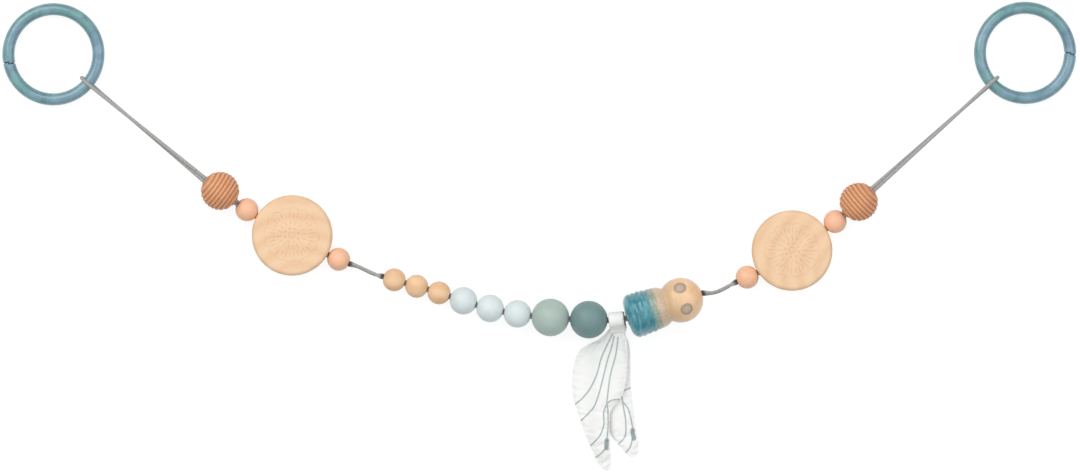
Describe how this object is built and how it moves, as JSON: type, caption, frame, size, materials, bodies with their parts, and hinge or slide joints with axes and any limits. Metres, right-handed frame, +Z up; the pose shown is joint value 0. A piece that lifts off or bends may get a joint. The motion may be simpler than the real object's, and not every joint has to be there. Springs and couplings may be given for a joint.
{
  "type": "pram chain toy",
  "caption": "Pram chain of wooden beads and discs on doubled elastic with a turned dragonfly, padded cloth wings and a snap ring at each end, laid flat in a shallow V.",
  "frame": {"origin": "middle of the toy's outline, on the table it lies on", "axes": "+X along the toy from its left ring to its right ring, +Y away from the wings, +Z up from the table"},
  "size_m": [0.5694, 0.249, 0.0244],
  "materials": {
    "ring_blue": "glossy teal-blue plastic",
    "elastic_grey": "braided grey elastic cord",
    "grooved_brown": "stained terracotta brown, turned grooves, satin",
    "peach": "painted peach, satin",
    "disc_wood": "pale natural wood, bare, finely sanded",
    "natural_wood": "natural wood, clear satin",
    "pale_blue": "painted pale blue-white, satin",
    "sage": "painted sage green, satin",
    "teal": "painted dark teal, satin",
    "figure_blue": "turned wood, painted glossy teal-blue with olive and natural bands, natural head",
    "wing_cotton": "white padded cotton with grey printed veins"
  },
  "bodies": {
    "tab_cord": {"tab_cord": "elastic_grey"},
    "wings": {"wing_tab": "wing_cotton", "back_wing": "wing_cotton"},
    "front_wing": {"front_wing": "wing_cotton"},
    "figure_cord": {"figure_cord": "elastic_grey"},
    "dragonfly_figure": {"dragonfly_figure": "figure_blue"},
    "right_stretch_cord": {"right_stretch_cord": "elastic_grey"},
    "right_disc_cord": {"right_disc_cord": "elastic_grey"},
    "right_inner_peach_bead": {"right_inner_peach_bead": "peach"},
    "right_disc": {"right_disc": "disc_wood"},
    "right_outer_peach_bead": {"right_outer_peach_bead": "peach"},
    "right_grooved_cord": {"right_grooved_cord": "elastic_grey"},
    "right_grooved_bead": {"right_grooved_bead": "grooved_brown"},
    "right_lead_cord": {"right_lead_cord": "elastic_grey"},
    "right_ring": {"right_ring": "ring_blue"},
    "large_cord": {"large_cord": "elastic_grey"},
    "teal_bead": {"teal_bead": "teal"},
    "sage_bead": {"sage_bead": "sage"},
    "pale_cord": {"pale_cord": "elastic_grey"},
    "pale_bead_3": {"pale_bead_3": "pale_blue"},
    "pale_bead_2": {"pale_bead_2": "pale_blue"},
    "pale_bead_1": {"pale_bead_1": "pale_blue"},
    "natural_cord": {"natural_cord": "elastic_grey"},
    "natural_bead_3": {"natural_bead_3": "natural_wood"},
    "natural_bead_2": {"natural_bead_2": "natural_wood"},
    "natural_bead_1": {"natural_bead_1": "natural_wood"},
    "left_stretch_cord": {"left_stretch_cord": "elastic_grey"},
    "left_disc_cord": {"left_disc_cord": "elastic_grey"},
    "left_inner_peach_bead": {"left_inner_peach_bead": "peach"},
    "left_disc": {"left_disc": "disc_wood"},
    "left_outer_peach_bead": {"left_outer_peach_bead": "peach"},
    "left_grooved_cord": {"left_grooved_cord": "elastic_grey"},
    "left_grooved_bead": {"left_grooved_bead": "grooved_brown"},
    "left_lead_cord": {"left_lead_cord": "elastic_grey"},
    "left_ring": {"left_ring": "ring_blue"}
  },
  "joints": [
    {"name": "wing_swing", "type": "hinge", "parent": "tab_cord", "child": "wings", "pos_m": [0.04119, -0.0439, 0.01172], "axis": [-0.9879, -0.1038, -0.1156], "range_deg": [-80, 110]},
    {"name": "front_wing_lift", "type": "hinge", "parent": "wings", "child": "front_wing", "pos_m": [0.04119, -0.0555, 0.0059], "axis": [-1, 0, 0], "range_deg": [0, 95]},
    {"name": "tab_to_figure_bend", "type": "hinge", "parent": "tab_cord", "child": "figure_cord", "pos_m": [0.04579, -0.04342, 0.01225], "axis": [0, 0, 1], "range_deg": [-12, 12]},
    {"name": "dragonfly_figure_spin", "type": "hinge", "parent": "figure_cord", "child": "dragonfly_figure", "pos_m": [0.06627, -0.03657, 0.01201], "axis": [0.9483, 0.3173, -0.0115], "continuous": true},
    {"name": "figure_to_right_stretch_bend", "type": "hinge", "parent": "figure_cord", "child": "right_stretch_cord", "pos_m": [0.08642, -0.02982, 0.01176], "axis": [-0.3173, 0.9483, 0], "range_deg": [-20, 20]},
    {"name": "right_stretch_to_disc_bend", "type": "hinge", "parent": "right_stretch_cord", "child": "right_disc_cord", "pos_m": [0.10458, -0.02406, 0.006], "axis": [0, 0, 1], "range_deg": [-20, 20]},
    {"name": "right_inner_peach_bead_spin", "type": "hinge", "parent": "right_disc_cord", "child": "right_inner_peach_bead", "pos_m": [0.11024, -0.02154, 0.006], "axis": [0.9135, 0.4067, 0], "continuous": true},
    {"name": "right_disc_spin", "type": "hinge", "parent": "right_disc_cord", "child": "right_disc", "pos_m": [0.134, -0.00741, 0.006], "axis": [0.8415, 0.5402, 0], "continuous": true},
    {"name": "right_outer_peach_bead_spin", "type": "hinge", "parent": "right_disc_cord", "child": "right_outer_peach_bead", "pos_m": [0.15687, 0.00795, 0.00725], "axis": [0.7719, 0.6031, 0.2012], "continuous": true},
    {"name": "right_disc_to_grooved_bend", "type": "hinge", "parent": "right_disc_cord", "child": "right_grooved_cord", "pos_m": [0.16166, 0.01169, 0.0085], "axis": [-0.6157, 0.788, 0], "range_deg": [-20, 20]},
    {"name": "right_grooved_bead_spin", "type": "hinge", "parent": "right_grooved_cord", "child": "right_grooved_bead", "pos_m": [0.16925, 0.0184, 0.01005], "axis": [0.7403, 0.655, 0.1517], "continuous": true},
    {"name": "right_grooved_to_lead_bend", "type": "hinge", "parent": "right_grooved_cord", "child": "right_lead_cord", "pos_m": [0.17684, 0.02511, 0.01161], "axis": [0, 0, 1], "range_deg": [-20, 20]},
    {"name": "right_ring_swing", "type": "hinge", "parent": "right_lead_cord", "child": "right_ring", "pos_m": [0.2399, 0.0815, 0.00515], "axis": [0.6665, -0.7455, 0], "range_deg": [-150, 150]},
    {"name": "tab_to_large_bend", "type": "hinge", "parent": "tab_cord", "child": "large_cord", "pos_m": [0.0367, -0.04437, 0.01119], "axis": [0, 0, 1], "range_deg": [-15, 15]},
    {"name": "teal_bead_spin", "type": "hinge", "parent": "large_cord", "child": "teal_bead", "pos_m": [0.02626, -0.04401, 0.01087], "axis": [0.9989, -0.0349, 0.0303], "continuous": true},
    {"name": "sage_bead_spin", "type": "hinge", "parent": "large_cord", "child": "sage_bead", "pos_m": [0.00592, -0.04285, 0.01003], "axis": [0.9956, -0.0784, 0.0521], "continuous": true},
    {"name": "large_to_pale_bend", "type": "hinge", "parent": "large_cord", "child": "pale_cord", "pos_m": [-0.00424, -0.04206, 0.0095], "axis": [0.0785, 0.9969, 0], "range_deg": [-20, 20]},
    {"name": "pale_bead_3_spin", "type": "hinge", "parent": "pale_cord", "child": "pale_bead_3", "pos_m": [-0.01155, -0.04096, 0.00906], "axis": [0.9873, -0.1476, 0.0592], "continuous": true},
    {"name": "pale_bead_2_spin", "type": "hinge", "parent": "pale_cord", "child": "pale_bead_2", "pos_m": [-0.02602, -0.03809, 0.00825], "axis": [0.969, -0.2416, 0.0507], "continuous": true},
    {"name": "pale_bead_1_spin", "type": "hinge", "parent": "pale_cord", "child": "pale_bead_1", "pos_m": [-0.04021, -0.03402, 0.00725], "axis": [0.9477, -0.3079, 0.0845], "continuous": true},
    {"name": "pale_to_natural_bend", "type": "hinge", "parent": "pale_cord", "child": "natural_cord", "pos_m": [-0.04722, -0.03174, 0.00662], "axis": [0, 0, 1], "range_deg": [-20, 20]},
    {"name": "natural_bead_3_spin", "type": "hinge", "parent": "natural_cord", "child": "natural_bead_3", "pos_m": [-0.05313, -0.02988, 0.00634], "axis": [0.9527, -0.3004, 0.0454], "continuous": true},
    {"name": "natural_bead_2_spin", "type": "hinge", "parent": "natural_cord", "child": "natural_bead_2", "pos_m": [-0.06501, -0.02636, 0.00603], "axis": [0.9636, -0.2672, 0.005], "continuous": true},
    {"name": "natural_bead_1_spin", "type": "hinge", "parent": "natural_cord", "child": "natural_bead_1", "pos_m": [-0.07693, -0.02294, 0.006], "axis": [0.9588, -0.284, 0], "continuous": true},
    {"name": "natural_to_left_stretch_bend", "type": "hinge", "parent": "natural_cord", "child": "left_stretch_cord", "pos_m": [-0.08287, -0.02118, 0.006], "axis": [0.284, 0.9588, 0], "range_deg": [-20, 20]},
    {"name": "left_stretch_to_disc_bend", "type": "hinge", "parent": "left_stretch_cord", "child": "left_disc_cord", "pos_m": [-0.10067, -0.01452, 0.006], "axis": [0, 0, 1], "range_deg": [-20, 20]},
    {"name": "left_inner_peach_bead_spin", "type": "hinge", "parent": "left_disc_cord", "child": "left_inner_peach_bead", "pos_m": [-0.10635, -0.01205, 0.006], "axis": [0.9171, -0.3987, 0], "continuous": true},
    {"name": "left_disc_spin", "type": "hinge", "parent": "left_disc_cord", "child": "left_disc", "pos_m": [-0.13097, 0.00061, 0.006], "axis": [0.8805, -0.4741, 0], "continuous": true},
    {"name": "left_outer_peach_bead_spin", "type": "hinge", "parent": "left_disc_cord", "child": "left_outer_peach_bead", "pos_m": [-0.15494, 0.01421, 0.00719], "axis": [0.8135, -0.5487, -0.1927], "continuous": true},
    {"name": "left_disc_to_grooved_bend", "type": "hinge", "parent": "left_disc_cord", "child": "left_grooved_cord", "pos_m": [-0.16043, 0.01791, 0.0085], "axis": [0.5592, 0.829, 0], "range_deg": [-20, 20]},
    {"name": "left_grooved_bead_spin", "type": "hinge", "parent": "left_grooved_cord", "child": "left_grooved_bead", "pos_m": [-0.16908, 0.02419, 0.01009], "axis": [0.8001, -0.5813, -0.1477], "continuous": true},
    {"name": "left_grooved_to_lead_bend", "type": "hinge", "parent": "left_grooved_cord", "child": "left_lead_cord", "pos_m": [-0.17728, 0.03015, 0.01161], "axis": [0, 0, 1], "range_deg": [-20, 20]},
    {"name": "left_ring_swing", "type": "hinge", "parent": "left_lead_cord", "child": "left_ring", "pos_m": [-0.2393, 0.08146, 0.00515], "axis": [0.6374, 0.7705, 0], "range_deg": [-150, 150]}
  ]
}
